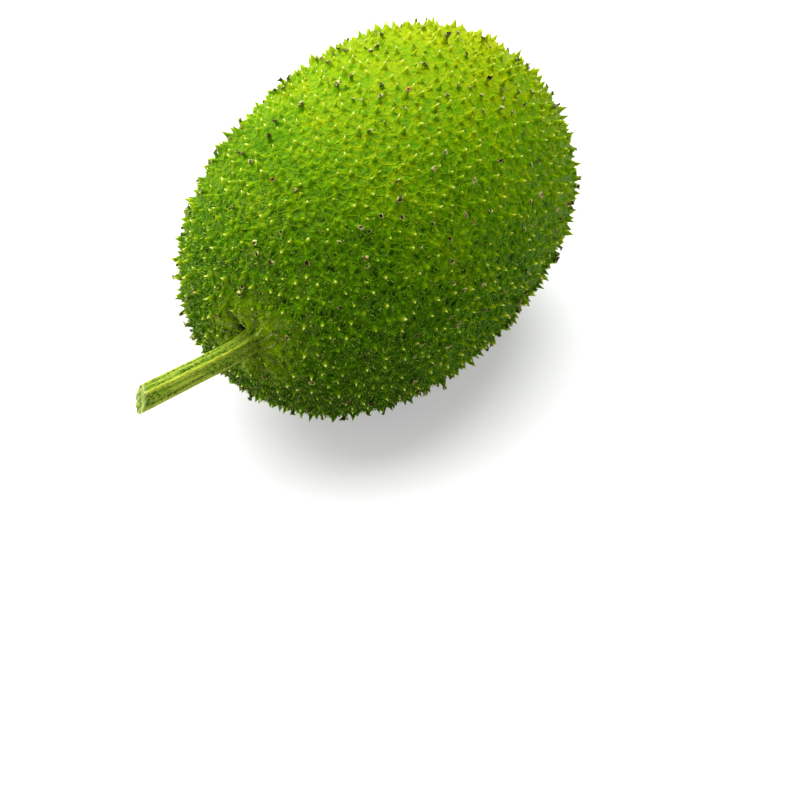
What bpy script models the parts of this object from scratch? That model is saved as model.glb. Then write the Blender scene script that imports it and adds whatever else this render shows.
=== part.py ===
"""Spiny gourd, picked with its stem and lying on its side.

Metres, +Z up. The fruit lies along X with its stem end at -X. The origin is on the surface that
it lies on, straight below its centre of weight, where the fruit rests on a small flat spot.
The fruit and its spines are one piece. The stem is a second piece, set in a shallow socket.
"""

import math

import bmesh
import bpy
import numpy as np
from mathutils import Vector

# Fruit body, without its spines
WIDTH = 0.050
LENGTH = 0.074
STEM_SIDE_LENGTH = 0.040  # from the stem end to the widest part
STEM_END_BLUNTNESS = 2.3  # 2 is an ellipse, and more is blunter
BLOSSOM_END_BLUNTNESS = 2.5
STEM_END_LIFT = 0.0010  # the stem end stands this much higher than the widest part's centre
LUMPS = ((2, 0.010, 0.6), (3, 0.007, 2.1), (5, 0.004, 4.0))  # each: waves round the body, share, phase

# The dent that the stem grows from, and the scar where the flower fell off
DENT_DEPTH = 0.0014
DENT_RADIUS = 0.0042
DENT_FOLDS = 7
FOLD_DEPTH = 0.0003
DENT_RINGS = (0.0015, 0.0024, 0.0033, 0.0042)
SCAR_DEPTH = 0.0005
SCAR_RADIUS = 0.0020
SCAR_RINGS = (0.0007, 0.0015)
RING_POINTS = 14

# Resting spot
WEIGHT_OFFSET = -0.0020  # the centre of weight, from the widest part along X
SUNK = 0.00035  # how much of the body's underside is flattened away
FLOOR_CUTTER = 0.2

# Spines
SPINES = 1400
SPINE_HEIGHT = 0.0015
SPINE_HEIGHT_SPREAD = 0.25
SPINE_LEAN = 0.00035
SPINE_BASE_RADIUS = 0.00085
SPINE_SIDES = 3
SITE_SHIFT = 0.00045
BARE_DENT_RADIUS = 0.0052  # the skin nearer to the stem's axis has no spines
BARE_SCAR_RADIUS = 0.0022
SEED = 27

# Stem
STEM_RADIUS = 0.00158
STEM_ROOT_SWELL = 0.24
STEM_ROOT_SWELL_SHARE = 0.12  # the swelling fades over this share of its length
STEM_END_SWELL = 0.06
STEM_LENGTH = 0.0260  # of which the root's depth is inside the fruit
STEM_ROOT_DEPTH = 0.0016
STEM_RIDGES = 5
STEM_RIDGE_SHARE = 0.09
STEM_SECTION_POINTS = 20
STEM_STEPS = 14
STEM_TURN = math.radians(12)  # towards +Y
STEM_RISE = math.radians(8)
STEM_BEND_SHARE = 0.3  # the stem has made its bend by this share of its length
CUT_SLANT = math.radians(35)
CUT_LIFT = 0.5  # the cut faces this much up for each unit that it faces sideways
CLEARANCE = 0.0003

# Finish
FRUIT_COLOUR = (0.165, 0.335, 0.008, 1.0)
FRUIT_ROUGHNESS = 0.5
STEM_COLOUR = (0.235, 0.375, 0.035, 1.0)
STEM_ROUGHNESS = 0.6
SHARP_ANGLE = math.radians(40)  # edges more bent than this are shaded sharp
WELD_DISTANCE = 1e-6

PROFILE_STEPS = 2000
GOLDEN_ANGLE = math.pi * (3 - math.sqrt(5))
HALF_WIDTH = WIDTH / 2
BLOSSOM_SIDE_LENGTH = LENGTH - STEM_SIDE_LENGTH


def clear_scene():
    for obj in list(bpy.data.objects):
        bpy.data.objects.remove(obj, do_unlink=True)


def new_collection(name):
    collection = bpy.data.collections.new(name)
    bpy.context.scene.collection.children.link(collection)
    return collection


def new_material(name, colour, roughness):
    material = bpy.data.materials.new(name)
    material.use_nodes = True
    material.diffuse_color = colour
    shader = material.node_tree.nodes["Principled BSDF"]
    shader.inputs["Base Color"].default_value = colour
    shader.inputs["Roughness"].default_value = roughness
    shader.inputs["Metallic"].default_value = 0.0
    return material


def lumps(turn):
    """How much the body's radius departs from round, as a share, at a turn about its axis."""
    return sum(share * math.cos(waves * turn + phase) for waves, share, phase in LUMPS)


def profile(angle):
    """Distance along X from the widest part, and radius, as angle runs from 0 at the stem end to pi."""
    stem_side = angle < math.pi / 2
    reach = STEM_SIDE_LENGTH if stem_side else BLOSSOM_SIDE_LENGTH
    bluntness = STEM_END_BLUNTNESS if stem_side else BLOSSOM_END_BLUNTNESS
    share = abs(math.cos(angle))
    radius = HALF_WIDTH * (1 - min(share, 1.0) ** bluntness) ** (1 / bluntness)
    return -reach * math.cos(angle), radius


def skin_shares():
    """Angles along the profile, and for each the share of the skin that lies on its stem side."""
    angles = np.linspace(0.0, math.pi, PROFILE_STEPS)
    along, radius = np.array([profile(angle) for angle in angles]).T
    strips = np.hypot(np.diff(along), np.diff(radius)) * (radius[1:] + radius[:-1])
    covered = np.concatenate([[0.0], np.cumsum(strips)])
    return angles, covered / covered[-1], along, radius


ANGLES, SHARES, ALONG, RADII = skin_shares()
SKIN_SPEED = np.gradient(ANGLES) / np.hypot(np.gradient(ALONG), np.gradient(RADII))
AXIS_HEIGHT = HALF_WIDTH * (1 + lumps(-math.pi / 2)) - SUNK
WIDEST = Vector((-WEIGHT_OFFSET, 0.0, AXIS_HEIGHT))
STEM_FOOT = WIDEST + Vector((DENT_DEPTH - STEM_SIDE_LENGTH, 0.0, STEM_END_LIFT))


def ring_angle(radius, stem_end):
    """The angle along the profile of the circle with this radius about one end."""
    half = PROFILE_STEPS // 2
    if stem_end:
        return float(np.interp(radius, RADII[:half], ANGLES[:half]))
    return float(np.interp(radius, RADII[:half:-1], ANGLES[:half:-1]))


def skin_point(angle, turn):
    """A point of the skin between the spines, turned from +Y towards +Z about the body's axis."""
    along, radius = profile(angle)
    lift = 0.0
    if angle < math.pi / 2:
        near = math.exp(-((radius / DENT_RADIUS) ** 2))
        fold = FOLD_DEPTH * math.cos(DENT_FOLDS * turn) * radius / DENT_RADIUS
        along += (DENT_DEPTH + fold) * near
        lift = STEM_END_LIFT * math.cos(angle) ** 2
    else:
        along -= SCAR_DEPTH * math.exp(-((radius / SCAR_RADIUS) ** 2))
    radius *= 1 + lumps(turn) * math.sin(angle)
    return WIDEST + Vector((along, radius * math.cos(turn), radius * math.sin(turn) + lift))


def egg_point(angle, turn):
    """The same point on a plain egg, which is rounded everywhere and so has a hull without gaps."""
    radius = HALF_WIDTH * math.sin(angle)
    return Vector((-LENGTH / 2 * math.cos(angle), radius * math.cos(turn), radius * math.sin(turn)))


def moved(angle, turn, along, around):
    """Angle and turn after a small step over the skin: metres towards the blossom end and round the body."""
    speed = np.interp(angle, ANGLES, SKIN_SPEED)
    radius = np.interp(angle, ANGLES, RADII)
    return angle + along * float(speed), turn + around / float(radius)


def spine_corners(rng):
    """For each spine the angle and turn of its base's corners, evenly spread and then shifted a little."""
    first, last = np.interp(
        [ring_angle(BARE_DENT_RADIUS, True), ring_angle(BARE_SCAR_RADIUS, False)], ANGLES, SHARES
    )
    for index in range(SPINES):
        share = first + (last - first) * (index + 0.5) / SPINES
        angle = float(np.interp(share, SHARES, ANGLES))
        shift = rng.uniform(-SITE_SHIFT, SITE_SHIFT, 2)
        angle, turn = moved(angle, index * GOLDEN_ANGLE, *shift)
        start = rng.uniform(0, math.tau)
        yield [
            moved(
                angle,
                turn,
                SPINE_BASE_RADIUS * math.cos(start + corner * math.tau / SPINE_SIDES),
                SPINE_BASE_RADIUS * math.sin(start + corner * math.tau / SPINE_SIDES),
            )
            for corner in range(SPINE_SIDES)
        ]


def end_rings():
    """Angle and turn of the bare skin's points: a centre and rings at each end."""
    rings = [(ring_angle(radius, True), 0.0) for radius in DENT_RINGS]
    rings += [(ring_angle(radius, False), 0.5) for radius in SCAR_RINGS]
    points = [(0.0, 0.0), (math.pi, 0.0)]
    for angle, start in rings:
        points += [(angle, (start + step) * math.tau / RING_POINTS) for step in range(RING_POINTS)]
    return points


def spiny_body(rng):
    """The fruit's closed mesh: a hull over the skin's points, with each spine's base pulled out to a tip."""
    body = bmesh.new()
    places = {}
    spine_of = {}
    for spine, corners in enumerate(spine_corners(rng)):
        for place in corners:
            vert = body.verts.new(egg_point(*place))
            places[vert] = place
            spine_of[vert] = spine
    for place in end_rings():
        places[body.verts.new(egg_point(*place))] = place
    bmesh.ops.convex_hull(body, input=body.verts[:], use_existing_faces=False)
    bases = [
        face for face in body.faces
        if len({spine_of.get(vert, vert) for vert in face.verts}) == 1
    ]
    for vert, place in places.items():
        vert.co = skin_point(*place)
    body.normal_update()
    tips = bmesh.ops.poke(body, faces=bases)["verts"]
    body.normal_update()
    for tip in tips:
        height = SPINE_HEIGHT * (1 + rng.uniform(-SPINE_HEIGHT_SPREAD, SPINE_HEIGHT_SPREAD))
        lean = Vector(rng.uniform(-SPINE_LEAN, SPINE_LEAN, 3))
        tip.co += tip.normal * height + lean
    return body


def mesh_object(name, body, collection):
    mesh = bpy.data.meshes.new(name)
    body.to_mesh(mesh)
    body.free()
    obj = bpy.data.objects.new(name, mesh)
    collection.objects.link(obj)
    return obj


def finish(part, material):
    part.data.materials.append(material)
    part.data.shade_smooth()
    part.data.set_sharp_from_angle(angle=SHARP_ANGLE)


def stem_path():
    """Points along the stem's middle, from its root in the fruit to its cut end."""
    step = STEM_LENGTH / STEM_STEPS
    point = STEM_FOOT + Vector((STEM_ROOT_DEPTH, 0.0, 0.0))
    points = [point]
    for index in range(STEM_STEPS):
        share = min((index + 0.5) / (STEM_STEPS * STEM_BEND_SHARE), 1.0)
        turn = STEM_TURN * share
        rise = STEM_RISE * share
        heading = Vector((-math.cos(turn) * math.cos(rise), math.sin(turn) * math.cos(rise), math.sin(rise)))
        point = point + heading * step
        points.append(point)
    return points, heading


def stem_section(name, radius, ridge_share):
    """The stem's ribbed outline, as a closed curve to sweep."""
    curve = bpy.data.curves.new(name, "CURVE")
    curve.dimensions = "2D"
    spline = curve.splines.new("POLY")
    spline.points.add(STEM_SECTION_POINTS - 1)
    spline.use_cyclic_u = True
    for index, point in enumerate(spline.points):
        turn = index * math.tau / STEM_SECTION_POINTS
        reach = radius * (1 + ridge_share * math.cos(STEM_RIDGES * turn))
        point.co = (reach * math.cos(turn), reach * math.sin(turn), 0.0, 1.0)
    return curve


def swept_stem(name, radius, ridge_share, collection):
    """The stem's path swept with its section and made a mesh, with its root and cut end swollen a little."""
    section = bpy.data.objects.new(name + "_section", stem_section(name + "_section", radius, ridge_share))
    collection.objects.link(section)
    curve = bpy.data.curves.new(name + "_path", "CURVE")
    curve.dimensions = "3D"
    curve.bevel_mode = "OBJECT"
    curve.bevel_object = section
    curve.use_fill_caps = True
    points, heading = stem_path()
    spline = curve.splines.new("POLY")
    spline.points.add(len(points) - 1)
    for index, (point, place) in enumerate(zip(spline.points, points)):
        share = index / STEM_STEPS
        point.co = (*place, 1.0)
        root_swell = STEM_ROOT_SWELL * math.exp(-((share / STEM_ROOT_SWELL_SHARE) ** 2))
        point.radius = 1 + root_swell + STEM_END_SWELL * share**3
    path = bpy.data.objects.new(name + "_path", curve)
    collection.objects.link(path)
    bpy.context.view_layer.update()
    mesh = bpy.data.meshes.new_from_object(path.evaluated_get(bpy.context.evaluated_depsgraph_get()))
    body = bmesh.new()
    body.from_mesh(mesh)
    bpy.data.meshes.remove(mesh)
    bmesh.ops.remove_doubles(body, verts=body.verts[:], dist=WELD_DISTANCE)
    bmesh.ops.recalc_face_normals(body, faces=body.faces[:])
    bpy.data.objects.remove(path, do_unlink=True)
    bpy.data.objects.remove(section, do_unlink=True)
    return body, points[-1], heading


def make_stem(parts):
    body, end, heading = swept_stem("fruit_stem", STEM_RADIUS, STEM_RIDGE_SHARE, parts)
    up = Vector((0.0, 0.0, 1.0))
    sideways = (heading.cross(up).normalized() + up * CUT_LIFT).normalized()
    slanted = heading * math.cos(CUT_SLANT) + sideways * math.sin(CUT_SLANT)
    cut = bmesh.ops.bisect_plane(
        body,
        geom=body.verts[:] + body.edges[:] + body.faces[:],
        plane_co=end - heading * STEM_RADIUS,
        plane_no=slanted,
        clear_outer=True,
    )
    rim = [item for item in cut["geom_cut"] if isinstance(item, bmesh.types.BMEdge)]
    bmesh.ops.holes_fill(body, edges=rim)
    bmesh.ops.recalc_face_normals(body, faces=body.faces[:])
    finish(mesh_object("fruit_stem", body, parts), new_material("stem_green", STEM_COLOUR, STEM_ROUGHNESS))


def as_cutter(obj):
    obj.hide_render = True
    obj.display_type = "WIRE"
    return obj


def make_socket_cutter(cutters):
    """A plain stem, wider all round by the clearance and deeper by it, which cuts the socket."""
    radius = STEM_RADIUS * (1 + STEM_RIDGE_SHARE) + CLEARANCE
    body, _, _ = swept_stem("stem_socket_cutter", radius, 0.0, cutters)
    root_x = STEM_FOOT.x + STEM_ROOT_DEPTH
    for vert in body.verts:
        if vert.co.x > root_x - CLEARANCE / 2:
            vert.co.x += CLEARANCE
    return as_cutter(mesh_object("stem_socket_cutter", body, cutters))


def make_floor_cutter(cutters):
    """A block whose top is the surface that the fruit lies on."""
    body = bmesh.new()
    bmesh.ops.create_cube(body, size=FLOOR_CUTTER)
    bmesh.ops.translate(body, verts=body.verts[:], vec=(0.0, 0.0, -FLOOR_CUTTER / 2))
    return as_cutter(mesh_object("floor_cutter", body, cutters))


def make_fruit(parts, cutters):
    fruit = mesh_object("gourd_fruit", spiny_body(np.random.default_rng(SEED)), parts)
    finish(fruit, new_material("fruit_green", FRUIT_COLOUR, FRUIT_ROUGHNESS))
    for name, tool in (("socket", make_socket_cutter(cutters)), ("resting_spot", make_floor_cutter(cutters))):
        cut = fruit.modifiers.new(name, "BOOLEAN")
        cut.operation = "DIFFERENCE"
        cut.object = tool


def main():
    clear_scene()
    parts = new_collection("spiny_gourd")
    cutters = new_collection("cutters")
    make_stem(parts)
    make_fruit(parts, cutters)


main()
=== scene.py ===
"""Looks of the spiny gourd: its skin with every spine, the fine hairs on it, and its ribbed stem.

Metres, +Z up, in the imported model's frame. The fruit lies along X with its stem end at -X.
"""

import math

import bmesh
import bpy
import numpy as np
from mathutils import Euler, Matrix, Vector
from mathutils.bvhtree import BVHTree
from mathutils.kdtree import KDTree


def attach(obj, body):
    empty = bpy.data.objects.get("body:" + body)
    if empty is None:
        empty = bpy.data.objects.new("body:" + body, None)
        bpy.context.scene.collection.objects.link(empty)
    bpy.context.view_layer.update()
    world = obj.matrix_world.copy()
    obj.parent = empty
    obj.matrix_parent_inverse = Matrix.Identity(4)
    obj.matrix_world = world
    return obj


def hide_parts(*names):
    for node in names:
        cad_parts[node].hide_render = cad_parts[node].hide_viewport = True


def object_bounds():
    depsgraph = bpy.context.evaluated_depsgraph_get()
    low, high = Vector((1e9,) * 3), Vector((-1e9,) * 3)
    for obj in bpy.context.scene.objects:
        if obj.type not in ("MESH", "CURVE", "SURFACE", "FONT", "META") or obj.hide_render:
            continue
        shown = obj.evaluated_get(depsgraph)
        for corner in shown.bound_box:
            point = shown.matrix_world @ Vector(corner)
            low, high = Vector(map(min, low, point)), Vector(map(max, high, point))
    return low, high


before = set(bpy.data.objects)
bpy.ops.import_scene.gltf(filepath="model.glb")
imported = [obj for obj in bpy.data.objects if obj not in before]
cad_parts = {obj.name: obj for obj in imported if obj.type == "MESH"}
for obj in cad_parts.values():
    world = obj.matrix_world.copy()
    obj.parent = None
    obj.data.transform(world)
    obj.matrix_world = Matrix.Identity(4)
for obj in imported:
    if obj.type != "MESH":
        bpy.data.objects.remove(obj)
PACKED_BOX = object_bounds()

# Fruit body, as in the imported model
HALF_WIDTH = 0.025
LENGTH = 0.074
STEM_SIDE_LENGTH = 0.040
STEM_END_BLUNTNESS = 2.3
BLOSSOM_END_BLUNTNESS = 2.5
STEM_END_LIFT = 0.0010
LUMPS = ((2, 0.010, 0.6), (3, 0.007, 2.1), (5, 0.004, 4.0))
SUNK = 0.00035
WIDEST_X = 0.0020
DENT_DEPTH = 0.0014
DENT_RADIUS = 0.0042
DENT_FOLDS = 7
FOLD_DEPTH = 0.0003
SCAR_DEPTH = 0.0005
SCAR_RADIUS = 0.0020

# Finer relief of the skin
SKIN_STEP = 0.000375
ROW_SHARE = 0.866  # rows of points stand this share of a step apart
FINE_SHARE = 0.55  # the step is this much smaller at the stem end
FINE_REACH = 0.009
CREASE_DEPTH = 0.0008
CREASE_RADIUS = 0.0040
CREASE_WIDTH = 0.0020
POCKET_DEPTH = 0.0016
POCKET_RADIUS = 0.0023
POCKET_WIDTH = 0.0007
POCKET_TURNS = (math.radians(37), math.radians(-95))
POCKET_SPREAD = 0.42
LOBE_HEIGHT = 0.0009
LOBE_RADIUS = 0.0046
LOBE_WIDTH = 0.0018
LOBE_MIDDLE = 0.6
LOBE_SWING = 0.4
COLLAR_HEIGHT = 0.0017
COLLAR_RADIUS = 0.0017
COLLAR_SPREAD = 0.0015
COLLAR_TURN = math.radians(150)  # the collar is highest on this side
COLLAR_LEAST = 0.24
COLLAR_RIBBING = 0.22
MOUND_HEIGHT = 0.00034
MOUND_RADIUS = 0.00078
RAY_HEIGHT = 0.00014
RAY_RADIUS = 0.00120
RAY_START = 0.0003
RAY_COUNTS = (3, 6)
SPINES_NEAR = 4  # the spines that a point of the skin rises towards
TIP_FROM = 0.0006  # packed points that stand this far off the skin are tips of spines
FLOOR_GAP = 0.0001

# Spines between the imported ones
ALL_SPINES = 2450
SPINE_SPACING = 0.00150
SMALL_HEIGHTS = (0.0007, 0.0013)
SMALL_LEAN = 0.35
LEAST_HEIGHT = 0.0003
REST_RIM = 0.0006  # below this height the fruit is pressed smooth where it rests
PACKED_REACH = (0.68, 1.02)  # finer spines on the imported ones' roots reach this share of their height
PACKED_WIDTHS = (0.72, 1.12)
SMALL_WIDTHS = (0.62, 0.9)
USUAL_HEIGHT = 0.0015
DRIED_SHARE = 0.17
SPINE_SIDES = 6
SPINE_BASE = 0.00078
FRESH_RADII = (1.0, 0.77, 0.56, 0.37, 0.21, 0.07)
FRESH_HEIGHTS = (0.0, 0.2, 0.4, 0.6, 0.8, 1.0)
DRIED_RADII = (1.0, 0.74, 0.56, 0.50, 0.70, 0.42, 0.10)
DRIED_HEIGHTS = (0.0, 0.25, 0.50, 0.76, 0.96, 0.80, 0.52)
FRESH_VALUES = {"Ridge": 0.12, "Bend": 0.00024, "Crumple": 0.00012, "Least Breadth": 0.8}
DRIED_VALUES = {"Ridge": 0.10, "Bend": 0.00065, "Crumple": 0.00140, "Least Breadth": 0.35}
HAIR_VALUES = {"Density": 2400000.0, "Length": 0.00052, "Root Radius": 0.00009, "Lean": 0.8}
HAIR_SIZES = (0.6, 1.15)
HAIR_TAPER = 0.35
HAIRS_BY_LENGTH = (-0.036, 0.0, 1.9, 0.4)
HAIRS_BY_HEIGHT = (0.018, 0.044, 1.0, 0.3)
CRUMPLE_SCALE = 1300.0
BARE_DENT_RADIUS = 0.0050
BARE_SCAR_RADIUS = 0.0024
SEED = 41

# Stem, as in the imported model
STEM_RADIUS = 0.00158
STEM_ROOT_SWELL = 0.24
STEM_ROOT_SWELL_SHARE = 0.12
STEM_END_SWELL = 0.06
STEM_LENGTH = 0.0260
STEM_ROOT_DEPTH = 0.0016
STEM_RIDGES = 5
STEM_RIDGE_SHARE = 0.09
STEM_TURN = math.radians(12)
STEM_RISE = math.radians(8)
STEM_BEND_SHARE = 0.3
CUT_SLANT = math.radians(35)
CUT_LIFT = 0.5

# Finer relief of the stem
STEM_AROUND = 180
STEM_ALONG = 300
LINE_STEPS = 14
CUT_RINGS = 14
RIB_TURN = 0.40
RIB_TWIST = -0.12
FINE_RIBS = ((17, 0.012, 2.0), (29, 0.008, -3.0))  # count, height, drift along the stem
RAGGED = 0.00012
CUT_WAVES = ((7, 0.5, 1), (13, 0.3, 0), (31, 0.2, 0))
FIBRE_WAVES = ((9, 0.6, 0.5), (23, 0.4, 0))
CUT_DISH = 0.00016
FIBRE_HEIGHT = 0.00005
SHARP_EDGE = math.radians(50)

# Colours
DEEP_GREEN = (0.008, 0.026, 0.0, 1)
SHADE_GREEN = (0.052, 0.155, 0.0, 1)
FRESH_GREEN = (0.128, 0.330, 0.0, 1)
YELLOW_GREEN = (0.470, 0.530, 0.0, 1)
DUST = (0.115, 0.140, 0.022, 1)
# the lobes' own green near the root, made lighter as painted light lifting them out of the stem's shade
ROOT_GREEN_AND_PAINTED_LIGHT = (0.250, 0.400, 0.0, 1)
ROOT_RIB = (0.420, 0.540, 0.110, 1)
SCAR_BROWN = (0.150, 0.120, 0.030, 1)
# painted shade for the pockets and creases round the stem
PAINTED_HOLLOW_SHADE = (0.022, 0.036, 0.022, 1)
# pale spine tips: partly their own cream colour, partly a painted highlight
CREAM_TIP_AND_HIGHLIGHT = (0.76, 0.82, 0.22, 1)
HAIR_CREAM = (0.66, 0.74, 0.16, 1)
DRIED_BROWNS = ((0.030, 0.026, 0.008, 1), (0.240, 0.250, 0.040, 1))
CUP_BROWNS = ((0.130, 0.100, 0.015, 1), (0.016, 0.016, 0.006, 1))
RIM_CREAM = (0.62, 0.66, 0.20, 1)
RIM_ORANGE = (0.55, 0.36, 0.05, 1)
STEM_GREENS = ((0.165, 0.310, 0.003, 1), (0.500, 0.610, 0.030, 1))
STEM_THREAD = (0.450, 0.560, 0.045, 1)
STEM_FLECK = (0.040, 0.095, 0.003, 1)
STEM_SPECK = (0.560, 0.660, 0.080, 1)
STEM_UNDER = (0.110, 0.095, 0.018, 1)
# painted shade for the stem near its root
STEM_ROOT_SHADE = (0.100, 0.165, 0.003, 1)
# pale rim of the cut: the cut's own colour, partly a painted highlight
CUT_RIM_AND_HIGHLIGHT = (0.62, 0.72, 0.22, 1)
FLESH_GREENS = ((0.130, 0.260, 0.006, 1), (0.56, 0.67, 0.14, 1))

# How yellow the fruit is by its place, and how much its colours and relief differ there
YELLOW_BY_LENGTH = 0.36
# yellower higher up and deeper green lower down: painted light on top, painted shade underneath
PAINTED_LIGHT_BY_HEIGHT = 0.58
YELLOW_BY_CLOUD = 0.30
YELLOW_BY_MOTTLE = 0.35
YELLOW_START = -0.34
CONTRAST_RANGE = (0.35, 0.78, 1.25, 0.35)
PAINTED_SHADE_YELLOW = -0.60
# how much less yellow the painted shade between the spines is
LINE_YELLOW = 0.26
# how much yellower the spines' painted lit flanks are
PAINTED_FLANK_LIGHT = 0.42

# Light in the flesh
SHEEN = 0.03
STEM_SHEEN = 0.15
GLOW_COLOUR = (0.9, 1.0, 0.15)
GLOW_DEPTH = 0.0010
SKIN_GLOW = 0.15
SPINE_GLOW = 0.60

# Patterns, in cells a metre, and the depths of the small relief in the materials
CLOUD_SCALE = 90.0
MOTTLE_SCALE = 900.0
PIT_SCALE = 1500.0
NET_SCALE = 560.0
NET_WAVER = 0.0004
DUST_SCALE = 420.0
HAIR_PATCH_SCALE = 1400.0
GRAIN_SCALE = 2600.0
SKIN_GRAIN = 0.00024
SPINE_GRAIN = 0.00016
STEM_GRAIN = 0.00022

# Camera and light
LENS_ANGLE = math.radians(25)
CAMERA_TURN = math.radians(-61.8)
CAMERA_RISE = math.radians(38.9)
CAMERA_PLACE = (-0.2062, -0.1138, 0.1779)
KEY_LIGHT = ((0.25, 0.43, 1.0), math.radians(90), 4.85)
SIDE_LIGHT = ((-0.63, 0.76, 0.16), math.radians(60), 1.3)
WORLD_STRENGTH = 0.25
FLOOR_REACH = 3
FLOOR_GREY = (0.7, 0.7, 0.7, 1)
# how strongly the floor glows for the camera, painted light lifting its shadows
FLOOR_GLOW = 0.42

PROFILE_STEPS = 4000


def waved(turn, waves):
    """The sum of some waves at a turn, each given as its count, height and phase."""
    return sum(height * np.cos(count * turn + phase) for count, height, phase in waves)


def profile(angle):
    """Distance along X from the widest part, and radius, for an angle from 0 at the stem end to pi."""
    stem_side = angle < np.pi / 2
    reach = np.where(stem_side, STEM_SIDE_LENGTH, LENGTH - STEM_SIDE_LENGTH)
    bluntness = np.where(stem_side, STEM_END_BLUNTNESS, BLOSSOM_END_BLUNTNESS)
    share = np.minimum(np.abs(np.cos(angle)), 1.0)
    return -reach * np.cos(angle), HALF_WIDTH * (1 - share**bluntness) ** (1 / bluntness)


AXIS_HEIGHT = HALF_WIDTH * (1 + float(waved(-math.pi / 2, LUMPS))) - SUNK
WIDEST = np.array((WIDEST_X, 0.0, AXIS_HEIGHT))
STEM_FOOT = Vector(WIDEST) + Vector((DENT_DEPTH - STEM_SIDE_LENGTH, 0.0, STEM_END_LIFT))
BLOSSOM_SCAR = Vector(WIDEST) + Vector((LENGTH - STEM_SIDE_LENGTH, 0.0, 0.0))


def skin_points(angle, turn):
    """Points of the skin between the spines, with the stem end's folds, and how hollow each is."""
    along, radius = profile(angle)
    stem_side = angle < np.pi / 2
    near_stem = np.exp(-((radius / DENT_RADIUS) ** 2))
    fold = FOLD_DEPTH * np.cos(DENT_FOLDS * turn) * radius / DENT_RADIUS
    crease = (1 - np.abs(np.sin(DENT_FOLDS * turn / 2 + 0.5 * np.sin(2 * turn)))) ** 4
    fanned = 0.5 + 0.5 * np.cos(turn - COLLAR_TURN)
    crease = crease * np.exp(-(((radius - CREASE_RADIUS) / CREASE_WIDTH) ** 2)) * (1 - fanned)
    pocket = 0.0
    for middle in POCKET_TURNS:
        aside = np.angle(np.exp(1j * (turn - middle)))
        pocket = pocket + np.exp(-((aside / POCKET_SPREAD) ** 2))
    pocket = pocket * np.exp(-(((radius - POCKET_RADIUS) / POCKET_WIDTH) ** 2))
    lobe = np.exp(-(((radius - LOBE_RADIUS) / LOBE_WIDTH) ** 2))
    lobe = lobe * (LOBE_MIDDLE - LOBE_SWING * np.cos(DENT_FOLDS * turn))
    ribbed = 1 + COLLAR_RIBBING * np.cos(2 * STEM_RIDGES * (turn + RIB_TURN))
    ribbed = (COLLAR_LEAST + (1 - COLLAR_LEAST) * fanned) * ribbed
    collar = np.exp(-((np.maximum(radius - COLLAR_RADIUS, 0.0) / COLLAR_SPREAD) ** 2)) * ribbed
    inward = (DENT_DEPTH + fold) * near_stem + CREASE_DEPTH * crease + POCKET_DEPTH * pocket
    inward = inward - LOBE_HEIGHT * lobe - COLLAR_HEIGHT * collar
    near_scar = np.exp(-((radius / SCAR_RADIUS) ** 2))
    along = along + np.where(stem_side, inward, -SCAR_DEPTH * near_scar)
    lift = np.where(stem_side, STEM_END_LIFT * np.cos(angle) ** 2, 0.0)
    radius = radius * (1 + waved(turn, LUMPS) * np.sin(angle))
    points = WIDEST + np.stack((along, radius * np.cos(turn), radius * np.sin(turn) + lift), axis=-1)
    return points, np.where(stem_side, np.maximum(pocket, crease), 0.0)


def stitch(first, second):
    """Triangles between two rings of points, each given as its first number and its count."""
    (a, count_a), (b, count_b) = first, second
    faces = []
    i = j = 0
    while i < count_a or j < count_b:
        corners = [a + i % count_a, b + j % count_b]
        if j >= count_b or (i < count_a and (i + 1) * count_b <= (j + 1) * count_a):
            i += 1
            corners.insert(1, a + i % count_a)
        else:
            j += 1
            corners.insert(1, b + j % count_b)
        if len(set(corners)) == 3:
            faces.append(tuple(corners))
    return faces


def skin_grid():
    """Angle and turn of the skin's points, in rings a step apart, and the triangles between them."""
    angles = np.linspace(0.0, math.pi, PROFILE_STEPS)
    along, radius = profile(angles)
    arc = np.concatenate([[0.0], np.cumsum(np.hypot(np.diff(along), np.diff(radius)))])
    steps = SKIN_STEP * (1 - (1 - FINE_SHARE) * np.exp(-((arc / FINE_REACH) ** 2)))
    ring_count = np.concatenate([[0.0], np.cumsum(np.diff(arc) / (ROW_SHARE * steps[1:]))])
    whole = int(ring_count[-1])
    ring_angles = np.interp(np.linspace(0, ring_count[-1], whole + 1), ring_count, angles)[1:-1]
    ring_radii = np.interp(ring_angles, angles, radius)
    ring_steps = np.interp(ring_angles, angles, steps)
    places = [np.array([[0.0, 0.0]])]
    rings = [(0, 1)]
    start = 1
    for index, (angle, reach, step) in enumerate(zip(ring_angles, ring_radii, ring_steps)):
        count = max(6, round(math.tau * reach / step))
        turns = (np.arange(count) + 0.5 * (index % 2)) * math.tau / count
        places.append(np.stack((np.full(count, angle), turns), axis=-1))
        rings.append((start, count))
        start += count
    places.append(np.array([[math.pi, 0.0]]))
    rings.append((start, 1))
    faces = []
    for first, second in zip(rings, rings[1:]):
        faces += stitch(first, second)
    return np.concatenate(places), faces


def mesh_piece(name, points, faces):
    mesh = bpy.data.meshes.new(name)
    mesh.from_pydata([tuple(point) for point in points], [], faces)
    mesh.update()
    piece = bpy.data.objects.new(name, mesh)
    bpy.context.scene.collection.objects.link(piece)
    return piece


def store(mesh, name, kind, values):
    layer = mesh.attributes.new(name, kind, "POINT")
    slot = "vector" if kind == "FLOAT_VECTOR" else "value"
    layer.data.foreach_set(slot, np.asarray(values, np.float32).ravel())


def vertex_normals(mesh):
    normals = np.zeros(len(mesh.vertices) * 3, np.float32)
    mesh.vertex_normals.foreach_get("vector", normals)
    return normals.reshape(-1, 3)


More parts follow.
